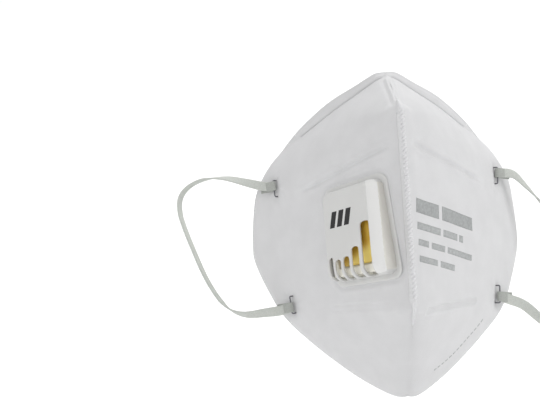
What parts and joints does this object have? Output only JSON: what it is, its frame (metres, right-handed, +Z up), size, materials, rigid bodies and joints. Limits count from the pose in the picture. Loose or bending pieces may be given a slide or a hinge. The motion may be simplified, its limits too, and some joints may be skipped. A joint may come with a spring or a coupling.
{
  "type": "disposable dust mask",
  "caption": "Vertical flat-fold face mask in layered nonwoven cloth with a centre weld, a slotted exhalation valve on one side and flat elastic ear loops.",
  "frame": {"origin": "middle of the face opening, where the mask's rim seals on the face", "axes": "+Z up along the centre weld, +Y towards the face, +X towards the wearer's left"},
  "size_m": [0.2193, 0.0805, 0.1563],
  "materials": {
    "outer_cloth": "white spunbond nonwoven",
    "filter_web": "soft melt-blown web",
    "inner_cloth": "smooth white nonwoven",
    "clip_metal": "satin",
    "valve_plastic": "moulded white polypropylene",
    "flap_rubber": "thin yellow elastomer sheet",
    "elastic": "flat knitted elastic",
    "staple_wire": "drawn wire"
  },
  "bodies": {
    "centre": {"centre_weld": "outer_cloth"},
    "right_middle": {"outer_cover_middle_right": "outer_cloth", "filter_layer_middle_right": "filter_web", "inner_cover_middle_right": "inner_cloth", "staple_upper_right": "staple_wire", "staple_lower_right": "staple_wire", "valve_seat": "valve_plastic", "valve_cover": "valve_plastic"},
    "right_upper": {"outer_cover_upper_right": "outer_cloth", "filter_layer_upper_right": "filter_web", "inner_cover_upper_right": "inner_cloth", "nose_clip_right": "clip_metal"},
    "right_lower": {"outer_cover_lower_right": "outer_cloth", "filter_layer_lower_right": "filter_web", "inner_cover_lower_right": "inner_cloth"},
    "right_loop": {"ear_loop_right": "elastic"},
    "left_middle": {"outer_cover_middle_left": "outer_cloth", "filter_layer_middle_left": "filter_web", "inner_cover_middle_left": "inner_cloth", "staple_upper_left": "staple_wire", "staple_lower_left": "staple_wire"},
    "left_upper": {"outer_cover_upper_left": "outer_cloth", "filter_layer_upper_left": "filter_web", "inner_cover_upper_left": "inner_cloth", "nose_clip_left": "clip_metal"},
    "left_lower": {"outer_cover_lower_left": "outer_cloth", "filter_layer_lower_left": "filter_web", "inner_cover_lower_left": "inner_cloth"},
    "left_loop": {"ear_loop_left": "elastic"},
    "flap": {"valve_flap": "flap_rubber"}
  },
  "joints": [
    {"name": "right_fold", "type": "hinge", "parent": "centre", "child": "right_middle", "pos_m": [0, -0.05, 0.01], "axis": [0, 0, -1], "range_deg": [-3, 38]},
    {"name": "left_fold", "type": "hinge", "parent": "centre", "child": "left_middle", "pos_m": [0, -0.05, 0.01], "axis": [0, 0, 1], "range_deg": [-3, 38]},
    {"name": "right_upper_crease", "type": "hinge", "parent": "right_middle", "child": "right_upper", "pos_m": [0, -0.05, 0.053], "axis": [0.6695, -0.7179, 0.1908], "range_deg": [-3, 38]},
    {"name": "left_upper_crease", "type": "hinge", "parent": "left_middle", "child": "left_upper", "pos_m": [0, -0.05, 0.053], "axis": [0.6695, 0.7179, -0.1908], "range_deg": [-3, 38]},
    {"name": "right_lower_crease", "type": "hinge", "parent": "right_middle", "child": "right_lower", "pos_m": [0, -0.05, -0.033], "axis": [-0.6783, 0.7273, -0.1045], "range_deg": [-2.16, 27.36]},
    {"name": "left_lower_crease", "type": "hinge", "parent": "left_middle", "child": "left_lower", "pos_m": [0, -0.05, -0.033], "axis": [-0.6783, -0.7273, 0.1045], "range_deg": [-2.16, 27.36]},
    {"name": "valve_flap_hinge", "type": "hinge", "parent": "right_middle", "child": "flap", "pos_m": [-0.02099, -0.03379, 0.01539], "axis": [-0.6769, 0.7259, -0.1219], "range_deg": [0, 7], "stiffness_Nm_per_rad": 0.002},
    {"name": "right_loop_swing", "type": "hinge", "parent": "right_middle", "child": "right_loop", "pos_m": [-0.05208, 0.00057, -0.033], "axis": [-0.0901, 0.0967, 0.9912], "range_deg": [-25, 50]},
    {"name": "left_loop_swing", "type": "hinge", "parent": "left_middle", "child": "left_loop", "pos_m": [0.05208, 0.00057, -0.033], "axis": [-0.0901, -0.0967, -0.9912], "range_deg": [-25, 50]}
  ],
  "couplings": [
    {"joint": "left_fold", "follows": "right_fold", "ratio": 1},
    {"joint": "right_upper_crease", "follows": "right_fold", "ratio": 1},
    {"joint": "right_lower_crease", "follows": "right_fold", "ratio": 0.72},
    {"joint": "left_upper_crease", "follows": "right_fold", "ratio": 1},
    {"joint": "left_lower_crease", "follows": "right_fold", "ratio": 0.72}
  ]
}
